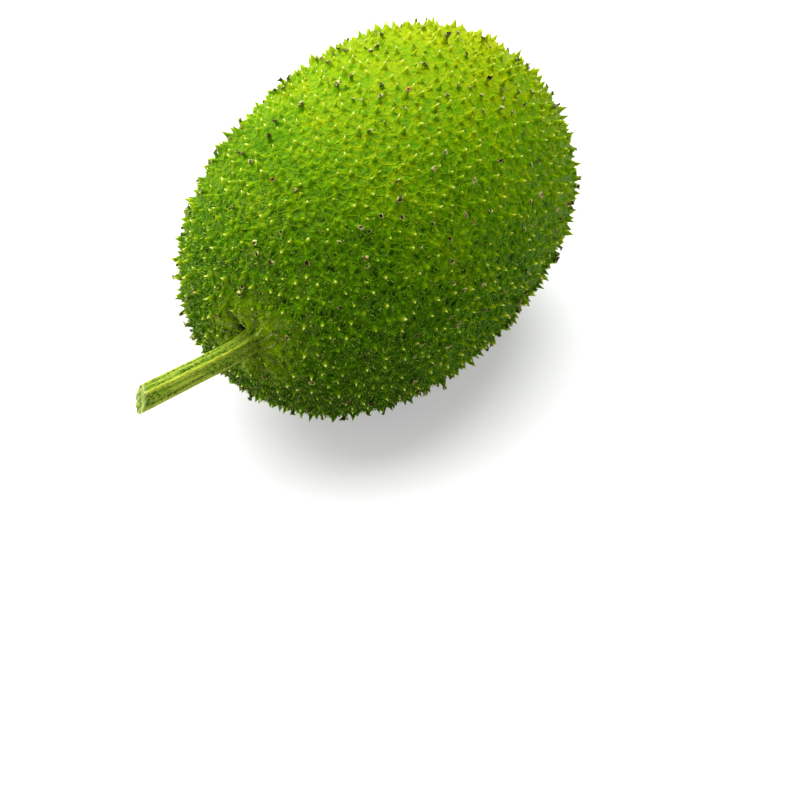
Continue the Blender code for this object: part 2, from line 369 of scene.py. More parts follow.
def packed_tips(surface):
    """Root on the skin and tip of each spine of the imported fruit."""
    body = bmesh.new()
    body.from_mesh(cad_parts["gourd_fruit"].data)
    bmesh.ops.remove_doubles(body, verts=body.verts[:], dist=1e-6)
    found = []
    for vert in body.verts:
        root, normal, _, away = surface.find_nearest(vert.co)
        if away > TIP_FROM and (vert.co - root).dot(normal) > 0 and vert.co.z > FLOOR_GAP:
            found.append((root, normal, vert.co.copy()))
    body.free()
    return found


def spine_sites(points, normals, surface, rng):
    """Roots, tips and widths of all the spines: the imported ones, then smaller ones in the gaps."""
    grid = {}

    def cell_of(place):
        return tuple(int(math.floor(value / SPINE_SPACING)) for value in place)

    def free(place):
        key = cell_of(place)
        for x in (-1, 0, 1):
            for y in (-1, 0, 1):
                for z in (-1, 0, 1):
                    for other in grid.get((key[0] + x, key[1] + y, key[2] + z), ()):
                        if (other - place).length < SPINE_SPACING:
                            return False
        return True

    def take(place):
        grid.setdefault(cell_of(place), []).append(place)

    roots, axes, tips, widths = [], [], [], []
    for root, normal, tip in packed_tips(surface):
        take(root)
        roots.append(root)
        axes.append(normal)
        tips.append(root.lerp(tip, rng.uniform(*PACKED_REACH)))
        widths.append(rng.uniform(*PACKED_WIDTHS) * ((tip - root).length / USUAL_HEIGHT) ** 0.5)
    for index in rng.permutation(len(points)):
        if len(roots) == ALL_SPINES:
            break
        root = Vector(points[index])
        across = math.hypot(root.y, root.z - STEM_FOOT.z)
        bare = BARE_DENT_RADIUS if root.x < 0 else BARE_SCAR_RADIUS
        if across < bare or not free(root):
            continue
        take(root)
        height = rng.uniform(*SMALL_HEIGHTS)
        lean = Vector(rng.uniform(-SMALL_LEAN, SMALL_LEAN, 3))
        heading = (Vector(normals[index]) + lean).normalized()
        if heading.z < 0:
            height = min(height, (root.z - FLOOR_GAP) / -heading.z)
        if height < LEAST_HEIGHT:
            continue
        roots.append(root)
        axes.append(Vector(normals[index]))
        tips.append(root + heading * height)
        widths.append(rng.uniform(*SMALL_WIDTHS))
    return roots, axes, tips, widths


def spine_relief(points, roots, axes, widths, rng):
    """For each point of the skin, its rise towards the spines round it, and the rays out from them."""
    tree = KDTree(len(roots))
    for index, root in enumerate(roots):
        tree.insert(root, index)
    tree.balance()
    phases = rng.uniform(0, math.tau, len(roots))
    counts = rng.integers(*RAY_COUNTS, len(roots))
    roots = np.array(roots)
    axes = np.array(axes)
    sides = np.cross(axes, (0.0, 0.0, 1.0))
    sides /= np.linalg.norm(sides, axis=1)[:, None] + 1e-9
    overs = np.cross(axes, sides)
    found = np.array([[(hit[1], hit[2]) for hit in tree.find_n(point, SPINES_NEAR)] for point in points])
    rise = np.zeros(len(points))
    rays = np.zeros(len(points))
    for rank in range(SPINES_NEAR):
        spine = found[:, rank, 0].astype(int)
        away = found[:, rank, 1]
        offset = points - roots[spine]
        turn = np.arctan2((offset * sides[spine]).sum(1), (offset * overs[spine]).sum(1))
        width = widths[spine]
        rise += width * np.exp(-((away / (MOUND_RADIUS * width)) ** 2))
        star = np.abs(np.cos(counts[spine] * turn / 2 + phases[spine])) ** 5
        begun = 1 - np.exp(-((away / RAY_START) ** 2))
        rays += width * star * np.exp(-((away / RAY_RADIUS) ** 2)) * begun
    return rise, rays


def make_skin(roots, axes, widths, points, normals, faces, hollows, rng):
    rise, rays = spine_relief(points, roots, axes, np.array(widths), rng)
    moved = points + normals * (MOUND_HEIGHT * rise + RAY_HEIGHT * rays)[:, None]
    skin = mesh_piece("gourd_skin", inside_box(moved), faces)
    store(skin.data, "rise", "FLOAT", rise)
    store(skin.data, "rays", "FLOAT", rays)
    store(skin.data, "hollow", "FLOAT", hollows)
    skin.data.shade_smooth()
    return skin


def inside_box(points):
    return np.clip(points, np.array(PACKED_BOX[0]), np.array(PACKED_BOX[1]))


# Node trees

def new_tree(name, kind, inputs, outputs):
    tree = bpy.data.node_groups.new(name, kind)
    for label, socket_type, value in inputs:
        socket = tree.interface.new_socket(label, in_out="INPUT", socket_type=socket_type)
        if value is not None:
            socket.default_value = value
    for label, socket_type in outputs:
        tree.interface.new_socket(label, in_out="OUTPUT", socket_type=socket_type)
    return tree, tree.nodes.new("NodeGroupInput").outputs, tree.nodes.new("NodeGroupOutput").inputs


def put(tree, kind, inputs=None, **settings):
    """A node with its settings, and each input either linked or given a value."""
    node = tree.nodes.new(kind)
    for key, value in settings.items():
        setattr(node, key, value)
    for key, value in (inputs or {}).items():
        if isinstance(value, bpy.types.NodeSocket):
            tree.links.new(value, node.inputs[key])
        else:
            node.inputs[key].default_value = value
    return node


def set_inputs(modifier, values):
    for item in modifier.node_group.interface.items_tree:
        if item.item_type == "SOCKET" and item.in_out == "INPUT" and item.name in values:
            modifier[item.identifier] = values[item.name]


def grown(name, source, tree, values):
    """The plain mesh that a tree grows from a source object, as a new piece; the source goes."""
    modifier = source.modifiers.new(tree.name, "NODES")
    modifier.node_group = tree
    set_inputs(modifier, values)
    bpy.context.view_layer.update()
    evaluated = source.evaluated_get(bpy.context.evaluated_depsgraph_get())
    mesh = bpy.data.meshes.new_from_object(evaluated)
    mesh.name = name
    source.modifiers.remove(modifier)
    bpy.data.objects.remove(source, do_unlink=True)
    piece = bpy.data.objects.new(name, mesh)
    bpy.context.scene.collection.objects.link(piece)
    return piece


def drawn_curve(tree, share, values):
    """Values spread evenly over the share from 0 to 1, with a smooth curve through them."""
    node = put(tree, "ShaderNodeFloatCurve", {"Value": share})
    points = node.mapping.curves[0].points
    points[0].location = (0.0, values[0])
    points[1].location = (1.0, values[-1])
    for index, value in enumerate(values[1:-1], 1):
        points.new(index / (len(values) - 1), value)
    node.mapping.update()
    return node.outputs[0]


def reckoned(tree, operation, *inputs):
    return put(tree, "ShaderNodeMath", dict(enumerate(inputs)), operation=operation).outputs[0]


def sum_of(tree, first, second):
    return reckoned(tree, "ADD", first, second)


def product(tree, first, second):
    return reckoned(tree, "MULTIPLY", first, second)


def with_added(tree, base, value, factor):
    return reckoned(tree, "MULTIPLY_ADD", value, factor, base)


def of_vectors(tree, operation, *inputs, output="Vector"):
    node = put(tree, "ShaderNodeVectorMath", dict(enumerate(inputs)), operation=operation)
    return node.outputs[output]


def ranged(tree, value, low=0.0, high=1.0, first=0.0, last=1.0):
    """What goes evenly from first to last while a value goes from low to high."""
    inputs = {"Value": value, "From Min": low, "From Max": high, "To Min": first, "To Max": last}
    return put(tree, "ShaderNodeMapRange", inputs).outputs[0]


def noise(tree, place, scale, detail, output=0):
    inputs = {"Vector": place, "Scale": scale, "Detail": detail}
    return put(tree, "ShaderNodeTexNoise", inputs).outputs[output]


def split(tree, vector):
    return put(tree, "ShaderNodeSeparateXYZ", {0: vector}).outputs


def stored(tree, name, kind="FLOAT"):
    return put(tree, "GeometryNodeInputNamedAttribute", {"Name": name}, data_type=kind).outputs[0]


def marked_along(tree, geometry, share):
    """The geometry with how far along the shape each point is."""
    inputs = {"Geometry": geometry, "Name": "along", "Value": share}
    return put(tree, "GeometryNodeStoreNamedAttribute", inputs, data_type="FLOAT", domain="POINT").outputs[0]


def chance(tree, low, high, inputs):
    return put(tree, "FunctionNodeRandomValue", {2: low, 3: high, **inputs}, data_type="FLOAT").outputs[1]


def turned_by(tree, rotation, by):
    inputs = {"Rotation": rotation, "Rotate By": by}
    return put(tree, "FunctionNodeRotateRotation", inputs, rotation_space="LOCAL").outputs[0]


def set_on(tree, points, shape, rotation, size):
    """A real copy of the shape on every point."""
    inputs = {"Points": points, "Instance": shape, "Rotation": rotation, "Scale": size}
    copies = put(tree, "GeometryNodeInstanceOnPoints", inputs).outputs[0]
    return put(tree, "GeometryNodeRealizeInstances", {"Geometry": copies}).outputs[0]


def end_tree(tree, geometry, finish, result):
    smooth = put(tree, "GeometryNodeSetShadeSmooth", {"Geometry": geometry}).outputs[0]
    done = put(tree, "GeometryNodeSetMaterial", {"Geometry": smooth, "Material": finish}).outputs[0]
    tree.links.new(done, result)
    return tree


def spine_shape(tree, given, radii, heights):
    """One spine of unit height: a closed column drawn to the outline, with ridges, bent to one side."""
    column = put(
        tree, "GeometryNodeMeshCylinder",
        {"Vertices": given["Sides"], "Side Segments": len(radii) - 1, "Radius": 1.0, "Depth": 1.0},
        fill_type="TRIANGLE_FAN",
    ).outputs["Mesh"]
    axes = split(tree, put(tree, "GeometryNodeInputPosition").outputs[0])
    share = sum_of(tree, axes["Z"], 0.5)
    marked = marked_along(tree, column, share)
    height = drawn_curve(tree, share, heights)
    turn = reckoned(tree, "ARCTAN2", axes["Y"], axes["X"])
    wave = reckoned(tree, "COSINE", product(tree, turn, 3.0))
    ridged = sum_of(tree, product(tree, wave, given["Ridge"]), 1.0)
    radius = product(tree, product(tree, drawn_curve(tree, share, radii), given["Base Radius"]), ridged)
    bow = reckoned(tree, "POWER", height, 2.2)
    aside = sum_of(tree, product(tree, axes["X"], radius), product(tree, bow, given["Bend"]))
    inputs = {"X": aside, "Y": product(tree, axes["Y"], radius), "Z": height}
    place = put(tree, "ShaderNodeCombineXYZ", inputs).outputs[0]
    return put(tree, "GeometryNodeSetPosition", {"Geometry": marked, "Position": place}).outputs[0]


def crumpled(tree, geometry, amount):
    """Moves points aside by a noise, more the nearer they are to the spine's tip."""
    blown = put(tree, "ShaderNodeTexNoise", {"Scale": CRUMPLE_SCALE, "Detail": 1.0}).outputs["Color"]
    centred = of_vectors(tree, "SUBTRACT", blown, (0.5, 0.5, 0.5))
    inputs = {0: centred, "Scale": product(tree, stored(tree, "along"), amount)}
    shift = put(tree, "ShaderNodeVectorMath", inputs, operation="SCALE").outputs[0]
    return put(tree, "GeometryNodeSetPosition", {"Geometry": geometry, "Offset": shift}).outputs[0]


def spine_tree(name, radii, heights):
    """A spine on each root, drawn out to the length of its reach."""
    tree, given, result = new_tree(
        name, "GeometryNodeTree",
        (
            ("Roots", "NodeSocketGeometry", None),
            ("Base Radius", "NodeSocketFloat", SPINE_BASE),
            ("Sides", "NodeSocketInt", SPINE_SIDES),
            *((label, "NodeSocketFloat", value) for label, value in FRESH_VALUES.items()),
            ("Seed", "NodeSocketInt", SEED),
            ("Finish", "NodeSocketMaterial", None),
        ),
        (("Spines", "NodeSocketGeometry"),),
    )
    reach = stored(tree, "reach", "FLOAT_VECTOR")
    width = stored(tree, "width")
    height = of_vectors(tree, "LENGTH", reach, output="Value")
    breadth = product(tree, width, chance(tree, given["Least Breadth"], 1.0, {"Seed": 5}))
    size = put(tree, "ShaderNodeCombineXYZ", {"X": width, "Y": breadth, "Z": height}).outputs[0]
    upright = put(tree, "FunctionNodeAlignRotationToVector", {"Vector": reach}, axis="Z").outputs[0]
    angle = chance(tree, 0.0, math.tau, {"Seed": given["Seed"]})
    spin = put(tree, "FunctionNodeAxisAngleToRotation", {"Axis": (0, 0, 1), "Angle": angle}).outputs[0]
    shape = spine_shape(tree, given, radii, heights)
    spines = set_on(tree, given["Roots"], shape, turned_by(tree, upright, spin), size)
    return end_tree(tree, crumpled(tree, spines, given["Crumple"]), given["Finish"], result["Spines"])


def make_spines(name, roots, tips, widths, tree, values, rng):
    source = mesh_piece(name + "_roots", roots, [])
    store(source.data, "reach", "FLOAT_VECTOR", [tuple(tip - root) for root, tip in zip(roots, tips)])
    store(source.data, "width", "FLOAT", widths)
    store(source.data, "pick", "FLOAT", rng.uniform(0, 1, len(roots)))
    spines = grown(name, source, tree, values)
    clip_to_box(spines)
    return spines


def hair_tree():
    """Short pale hairs scattered over a surface, leaning at random."""
    tree, given, result = new_tree(
        "Scatter Hairs", "GeometryNodeTree",
        (
            ("Surface", "NodeSocketGeometry", None),
            *((label, "NodeSocketFloat", value) for label, value in HAIR_VALUES.items()),
            ("Seed", "NodeSocketInt", SEED),
            ("Finish", "NodeSocketMaterial", None),
        ),
        (("Hairs", "NodeSocketGeometry"),),
    )
    axes = split(tree, put(tree, "GeometryNodeInputPosition").outputs[0])
    thick = ranged(tree, axes["X"], *HAIRS_BY_LENGTH)
    low = ranged(tree, axes["Z"], *HAIRS_BY_HEIGHT)
    clear = reckoned(tree, "GREATER_THAN", axes["Z"], REST_RIM)
    density = product(tree, product(tree, product(tree, given["Density"], thick), low), clear)
    spread = put(
        tree, "GeometryNodeDistributePointsOnFaces",
        {"Mesh": given["Surface"], "Density": density, "Seed": given["Seed"]}, distribute_method="RANDOM",
    ).outputs
    line = put(tree, "GeometryNodeCurvePrimitiveLine", {"Start": (0, 0, -0.1), "End": (0, 0, 1)}).outputs[0]
    share = put(tree, "GeometryNodeSplineParameter").outputs["Factor"]
    thin = reckoned(tree, "DIVIDE", given["Root Radius"], given["Length"])
    ring = put(tree, "GeometryNodeCurvePrimitiveCircle", {"Resolution": 3, "Radius": thin}).outputs[0]
    inputs = {
        "Curve": marked_along(tree, line, share), "Profile Curve": ring,
        "Scale": ranged(tree, share, first=1.0, last=HAIR_TAPER), "Fill Caps": True,
    }
    shape = put(tree, "GeometryNodeCurveToMesh", inputs).outputs[0]
    index = put(tree, "GeometryNodeInputIndex").outputs[0]
    back = product(tree, given["Lean"], -1.0)
    tilts = [chance(tree, back, given["Lean"], {"ID": index, "Seed": seed}) for seed in (3, 4)]
    tilt = put(tree, "ShaderNodeCombineXYZ", {"X": tilts[0], "Y": tilts[1]}).outputs[0]
    lean = put(tree, "FunctionNodeEulerToRotation", {0: tilt}).outputs[0]
    size = product(tree, chance(tree, *HAIR_SIZES, {"Seed": given["Seed"]}), given["Length"])
    hairs = set_on(tree, spread["Points"], shape, turned_by(tree, spread["Rotation"], lean), size)
    return end_tree(tree, hairs, given["Finish"], result["Hairs"])


def make_hairs(skin, finish):
    source = bpy.data.objects.new("hair_ground", skin.data.copy())
    bpy.context.scene.collection.objects.link(source)
    hairs = grown("gourd_hairs", source, hair_tree(), {**HAIR_VALUES, "Seed": SEED, "Finish": finish})
    clip_to_box(hairs)
    return hairs


def clip_to_box(piece):
    points = np.zeros(len(piece.data.vertices) * 3, np.float32)
    piece.data.vertices.foreach_get("co", points)
    piece.data.vertices.foreach_set("co", inside_box(points.reshape(-1, 3)).astype(np.float32).ravel())
    piece.data.update()


# Stem

def stem_line():
    """Distances along the stem's middle line from its root, and the places and headings there."""
    step = STEM_LENGTH / LINE_STEPS
    places = [np.array(STEM_FOOT) + (STEM_ROOT_DEPTH, 0.0, 0.0)]
    headings = []
    for index in range(LINE_STEPS + 2):
        share = min((index + 0.5) / (LINE_STEPS * STEM_BEND_SHARE), 1.0)
        turn, rise = STEM_TURN * share, STEM_RISE * share
        heading = np.array(
            (-math.cos(turn) * math.cos(rise), math.sin(turn) * math.cos(rise), math.sin(rise))
        )
        headings.append(heading)
        places.append(places[-1] + heading * step)
    headings = [headings[0]] + [(a + b) / 2 for a, b in zip(headings, headings[1:])] + [headings[-1]]
    return np.arange(LINE_STEPS + 3) * step, np.array(places), np.array(headings)


def on_line(distance, known, values):
    return np.stack([np.interp(distance, known, values[:, axis]) for axis in range(3)], axis=-1)


def ribs(turn):
    """Height of the ribs at a turn about the stem, 1 on the crest of a main one."""
    wave = 0.5 * np.cos(STEM_RIDGES * turn)
    return (0.5 + wave) ** 3 + 0.5 * (0.5 - wave) ** 3


def stem_reach(turn, share):
    """The stem's radius at a turn about its middle line, and its ribs there."""
    height = ribs(turn + RIB_TURN + RIB_TWIST * share + 0.04 * np.sin(9 * share))
    fine = waved(turn, [(count, rise, drift * share) for count, rise, drift in FINE_RIBS])
    swell = STEM_ROOT_SWELL * np.exp(-((share / STEM_ROOT_SWELL_SHARE) ** 2)) + STEM_END_SWELL * share**3
    return STEM_RADIUS * (1 + swell) * (1 + STEM_RIDGE_SHARE * (1.7 * height - 0.7) + fine), height


def ring_faces(rings, around):
    """Faces between rings of points that follow each other, each ring with the same count."""
    faces = []
    for ring in range(rings - 1):
        for column in range(around):
            after = (column + 1) % around
            a, b = ring * around, (ring + 1) * around
            faces.append((a + column, b + column, b + after, a + after))
    return faces


def make_stem(finish):
    known, places, headings = stem_line()
    heading = headings[-1]
    up = np.array((0.0, 0.0, 1.0))
    side = np.cross(heading, up)
    side /= np.linalg.norm(side)
    facing = side + up * CUT_LIFT
    slanted = heading * math.cos(CUT_SLANT) + facing / np.linalg.norm(facing) * math.sin(CUT_SLANT)
    turns = np.arange(STEM_AROUND) * math.tau / STEM_AROUND
    far = stem_reach(turns, 1.0)[0][:, None]
    offset = (side * np.cos(turns)[:, None] + np.cross(side, heading) * np.sin(turns)[:, None]) * far
    past_cut = (offset + heading * STEM_RADIUS) @ slanted / (heading @ slanted)
    limit = STEM_LENGTH - past_cut + RAGGED * waved(turns, CUT_WAVES)
    shares = np.linspace(0.0, 1.0, STEM_ALONG + 1)
    distance = shares[:, None] * limit
    along = on_line(distance, known, headings)
    across = np.cross(along, up)
    across /= np.linalg.norm(across, axis=-1, keepdims=True)
    over = np.cross(across, along)
    reach, height = stem_reach(turns, distance / STEM_LENGTH)
    spread = across * np.cos(turns)[None, :, None] + over * np.sin(turns)[None, :, None]
    wall = on_line(distance, known, places) + spread * reach[..., None]
    centre = wall[-1].mean(axis=0)
    fibres = waved(turns, FIBRE_WAVES)
    rings = []
    for ring in range(1, CUT_RINGS + 1):
        share = ring / (CUT_RINGS + 1)
        sunk = FIBRE_HEIGHT * fibres * math.sin(3 * math.pi * share) - CUT_DISH * math.sin(math.pi * share)
        rings.append(wall[-1] + (centre - wall[-1]) * share + slanted * sunk[:, None])
    rows = np.concatenate([wall, np.array(rings)])
    points = np.concatenate([rows.reshape(-1, 3), [centre, places[0]]])
    faces = ring_faces(len(rows), STEM_AROUND)
    last, tip = (len(rows) - 1) * STEM_AROUND, len(points) - 2
    for column in range(STEM_AROUND):
        after = (column + 1) % STEM_AROUND
        faces.append((last + column, tip, last + after))
        faces.append((after, tip + 1, column))
    stem = mesh_piece("ribbed_stem", points, faces)
    on_cut = np.repeat(np.arange(1, CUT_RINGS + 1) / (CUT_RINGS + 1), STEM_AROUND)
    wall_count = (STEM_ALONG + 1) * STEM_AROUND
    cut = np.concatenate([np.zeros(wall_count), on_cut, [1.0, 0.0]])
    length = np.concatenate([np.repeat(shares, STEM_AROUND), np.ones(len(on_cut)), [1.0, 0.0]])
    around = np.append(np.tile(turns, len(rows)), [0.0, 0.0])
    store(
        stem.data, "rib", "FLOAT",
        np.concatenate([height.ravel(), np.tile(height[-1], CUT_RINGS), [0.0, 0.0]]),
    )
    store(stem.data, "cut", "FLOAT", cut)
    store(stem.data, "length", "FLOAT", length)
    store(
        stem.data, "round", "FLOAT_VECTOR",
        np.stack((np.cos(around), np.sin(around), length * STEM_LENGTH / STEM_RADIUS), axis=-1),
    )
    stem.data.shade_smooth()
    stem.data.set_sharp_from_angle(angle=SHARP_EDGE)
    clip_to_box(stem)
    stem.data.materials.append(finish)
    return stem


# Materials

def gourd_green():
    """Greens of the fruit by their place on it: yellow-green at the blossom end, deep green below; the
    change with height is painted light on top and painted shade underneath.
    """
    tree, given, result = new_tree(
        "Gourd Green", "ShaderNodeTree",
        (("Place", "NodeSocketVector", None), ("Yellow Share", "NodeSocketFloat", 0.0)),
        (
            ("Colour", "NodeSocketColor"), ("Contrast", "NodeSocketFloat"),
            ("Stem End", "NodeSocketFloat"), ("Scar", "NodeSocketFloat"),
        ),
    )
    place = given["Place"]
    axes = split(tree, place)
    by_length = product(tree, ranged(tree, axes["X"], -0.04, 0.03), YELLOW_BY_LENGTH)
    # painted light and shade: the greens turn yellower with height and deeper towards the underside
    length_and_painted_light = with_added(tree, by_length, ranged(tree, axes["Z"], 0.0, 0.05), PAINTED_LIGHT_BY_HEIGHT)
    by_cloud = with_added(tree, length_and_painted_light, noise(tree, place, CLOUD_SCALE, 3.0), YELLOW_BY_CLOUD)
    by_mottle = with_added(tree, by_cloud, noise(tree, place, MOTTLE_SCALE, 4.0), YELLOW_BY_MOTTLE)
    contrast = ranged(tree, length_and_painted_light, *CONTRAST_RANGE)
    tree.links.new(contrast, result["Contrast"])
    started = sum_of(tree, by_mottle, YELLOW_START)
    total = sum_of(tree, started, product(tree, given["Yellow Share"], contrast))
    ramp = put(tree, "ShaderNodeValToRGB", {0: total})
    stops = ramp.color_ramp.elements
    stops[0].position, stops[0].color = 0.0, DEEP_GREEN
    stops[1].position, stops[1].color = 1.0, YELLOW_GREEN
    for position, colour in ((0.47, SHADE_GREEN), (0.70, FRESH_GREEN)):
        stops.new(position).color = colour
    tree.links.new(ramp.outputs[0], result["Colour"])
    from_foot = of_vectors(tree, "DISTANCE", place, tuple(STEM_FOOT), output="Value")
    tree.links.new(ranged(tree, from_foot, 0.005, 0.024, 1.0, 0.0), result["Stem End"])
    from_scar = of_vectors(tree, "DISTANCE", place, tuple(BLOSSOM_SCAR), output="Value")
    edge = with_added(tree, from_scar, noise(tree, place, 1100.0, 3.0), 0.0026)
    tree.links.new(ranged(tree, edge, 0.0024, 0.0032, 1.0, 0.0), result["Scar"])
    return tree


def root_ribs():
    """How near a place is to the stem's root, and the stem's ribs running out over the skin from it."""
    tree, given, result = new_tree(
        "Root Ribs", "ShaderNodeTree", (("Place", "NodeSocketVector", None),),
        (("Nearness", "NodeSocketFloat"), ("Rib", "NodeSocketFloat")),
    )
    offset = of_vectors(tree, "SUBTRACT", given["Place"], tuple(STEM_FOOT))
    away = of_vectors(tree, "LENGTH", offset, output="Value")
    near = ranged(tree, away, 0.0034, 0.0088, 1.0, 0.0)
    tree.links.new(near, result["Nearness"])
    axes = split(tree, offset)
    turn = reckoned(tree, "ARCTAN2", axes["Z"], axes["Y"])
    wavered = with_added(tree, turn, noise(tree, given["Place"], 350.0, 2.0), 0.9)
    wave = reckoned(tree, "COSINE", product(tree, wavered, 3.0 * STEM_RIDGES))
    crest = ranged(tree, wave, 0.1, 1.0)
    tree.links.new(product(tree, crest, product(tree, near, near)), result["Rib"])
    return tree


def rounded_normal():
    """The surface's own direction drawn towards the fruit's, as light that spreads in the flesh does."""
    tree, given, result = new_tree(
        "Rounded Normal", "ShaderNodeTree",
        (("Place", "NodeSocketVector", None), ("Roundness", "NodeSocketFloat", 0.5)),
        (("Normal", "NodeSocketVector"),),
    )
    offset = of_vectors(tree, "SUBTRACT", given["Place"], tuple(WIDEST))
    flattened = of_vectors(tree, "MULTIPLY", offset, (0.45, 1.0, 1.0))
    outward = of_vectors(tree, "NORMALIZE", flattened)
    own = put(tree, "ShaderNodeNewGeometry").outputs["Normal"]
    inputs = {0: given["Roundness"], 4: own, 5: outward}
    mixed = put(tree, "ShaderNodeMix", inputs, data_type="VECTOR").outputs[1]
    tree.links.new(of_vectors(tree, "NORMALIZE", mixed), result["Normal"])
    return tree


def material_tree(name, roughness):
    material = bpy.data.materials.new(name)
    material.use_nodes = True
    tree = material.node_tree
    shader = tree.nodes["Principled BSDF"]
    shader.inputs["Roughness"].default_value = roughness
    shader.inputs["Specular IOR Level"].default_value = SHEEN
    shader.inputs["Subsurface Radius"].default_value = GLOW_COLOUR
    shader.inputs["Subsurface Scale"].default_value = GLOW_DEPTH
    place = put(tree, "ShaderNodeTexCoord").outputs["Object"]
    return material, tree, shader, place


def read(tree, name, output="Fac"):
    return put(tree, "ShaderNodeAttribute", attribute_name=name).outputs[output]


def greens(tree, green, place, share=0.0):
    """The fruit's greens at a place, yellower by the share."""
    return put(tree, "ShaderNodeGroup", {"Place": place, "Yellow Share": share}, node_tree=green).outputs


def coloured(tree, shader, colour):
    tree.links.new(colour, shader.inputs["Base Color"])


def blended(tree, share, first, second):
    return put(tree, "ShaderNodeMix", {0: share, 6: first, 7: second}, data_type="RGBA").outputs[2]


def bumped(tree, shader, height, strength, distance, normal=None):
    bump = put(tree, "ShaderNodeBump", {"Height": height, "Strength": strength, "Distance": distance})
    if normal is not None:
        tree.links.new(normal, bump.inputs["Normal"])
    tree.links.new(bump.outputs[0], shader.inputs["Normal"])


def rounded(tree, place, contrast, rounding):
    """A normal that is rounder where the fruit is yellower."""
    inputs = {"Place": place, "Roundness": with_added(tree, 1.0, contrast, -0.55)}
    return put(tree, "ShaderNodeGroup", inputs, node_tree=rounding).outputs["Normal"]


def skin_finish(green, rounding):
    material, tree, shader, place = material_tree("gourd_skin", 0.5)
    shader.inputs["Subsurface Weight"].default_value = SKIN_GLOW
    rise = read(tree, "rise")
    rays = read(tree, "rays")
    base = greens(tree, green, place)
    # painted shade: darker blotches in the valleys between the spines, scaled by the contrast there
    low = ranged(tree, rise, 0.0, 0.5, 1.0, 0.0)
    blotch = noise(tree, place, PIT_SCALE, 2.0)
    painted_shade_spots = ranged(tree, blotch, 0.5, 0.57)
    painted_shade_green = greens(tree, green, place, PAINTED_SHADE_YELLOW)
    painted_shade_share = product(tree, product(tree, low, painted_shade_spots), base["Contrast"])
    colour = blended(tree, painted_shade_share, base["Colour"], painted_shade_green["Colour"])
    waver = noise(tree, place, 700.0, 2.0, "Color")
    bent = of_vectors(tree, "MULTIPLY_ADD", waver, (NET_WAVER,) * 3, place)
    inputs = {"Vector": bent, "Scale": NET_SCALE}
    net = put(tree, "ShaderNodeTexVoronoi", inputs, feature="DISTANCE_TO_EDGE").outputs["Distance"]
    net_share = ranged(tree, net, 0.0, 0.11, 0.9, 0.0)
    ray_share = ranged(tree, rays, 0.15, 0.6, 0.0, 0.9)
    yellower = greens(tree, green, place, LINE_YELLOW)
    colour = blended(tree, reckoned(tree, "MAXIMUM", net_share, ray_share), colour, yellower["Colour"])
    dusty = ranged(tree, noise(tree, place, DUST_SCALE, 4.0), 0.46, 0.66, 0.0, 0.55)
    colour = blended(tree, product(tree, dusty, base["Stem End"]), colour, DUST)
    root = put(tree, "ShaderNodeGroup", {"Place": place}, node_tree=root_ribs()).outputs
    # lighter green near the stem's root: the lobes' own colour, partly painted light lifting them out of
    # shade
    colour = blended(tree, product(tree, root["Nearness"], 0.80), colour, ROOT_GREEN_AND_PAINTED_LIGHT)
    colour = blended(tree, product(tree, root["Rib"], 0.75), colour, ROOT_RIB)
    colour = blended(tree, product(tree, base["Scar"], 0.85), colour, SCAR_BROWN)
    # painted shade: darker in the pockets and creases round the stem's root
    colour = blended(tree, ranged(tree, read(tree, "hollow"), 0.15, 0.7), colour, PAINTED_HOLLOW_SHADE)
    coloured(tree, shader, colour)
    height = noise(tree, place, GRAIN_SCALE, 3.0)
    for relief, share in ((net_share, 1.2), (blotch, -1.5), (root["Rib"], 1.5)):
        height = with_added(tree, height, relief, share)
    contrast = base["Contrast"]
    normal = rounded(tree, place, contrast, rounding)
    bumped(tree, shader, product(tree, height, contrast), 1.0, SKIN_GRAIN, normal)
    return material


def spine_finish(green, rounding):
    material, tree, shader, place = material_tree("gourd_spines", 0.45)
    shader.inputs["Subsurface Weight"].default_value = SPINE_GLOW
    along = read(tree, "along")
    pick = read(tree, "pick")
    base = greens(tree, green, place, 0.03)
    # painted light: the spines turn yellower towards the tip, as lit flanks look
    upper = ranged(tree, along, 0.25, 0.8, 0.0, 0.95)
    yellower = greens(tree, green, place, PAINTED_FLANK_LIGHT)
    lit = ranged(tree, pick, 0.0, 1.0, 1.0, 0.3)
    painted_light_flank = blended(tree, product(tree, upper, lit), base["Colour"], yellower["Colour"])
    # pale tips on about half the spines: their own cream colour, partly a painted highlight
    tip = ranged(tree, along, 0.72, 0.9)
    cream_and_highlight = reckoned(tree, "LESS_THAN", pick, 0.55)
    colour = blended(tree, product(tree, tip, cream_and_highlight), painted_light_flank, CREAM_TIP_AND_HIGHLIGHT)
    coloured(tree, shader, colour)
    contrast = base["Contrast"]
    grain = product(tree, noise(tree, place, GRAIN_SCALE, 3.0), contrast)
    bumped(tree, shader, grain, 0.8, SPINE_GRAIN, rounded(tree, place, contrast, rounding))
    return material


def dried_finish(green):
    """Green at the foot, brown above it, with a pale torn rim round a nearly black hollow."""
    material, tree, shader, place = material_tree("gourd_dried_tips", 0.7)
    along = read(tree, "along")
    pick = read(tree, "pick")
    colour = greens(tree, green, place, 0.05)["Colour"]
    uneven = with_added(tree, along, noise(tree, place, 2400.0, 2.0), 0.24)
    brown = blended(tree, pick, *DRIED_BROWNS)
    inside = blended(tree, pick, *CUP_BROWNS)
    one_side = ranged(tree, noise(tree, place, 2100.0, 1.0), 0.36, 0.48)
    pale = blended(tree, reckoned(tree, "GREATER_THAN", pick, 0.92), RIM_CREAM, RIM_ORANGE)
    rim = blended(tree, one_side, brown, pale)
    for low, high, next_colour in ((0.5, 0.62, brown), (0.7, 0.78, rim), (0.86, 0.96, inside)):
        colour = blended(tree, ranged(tree, uneven, low, high), colour, next_colour)
    coloured(tree, shader, colour)
    return material


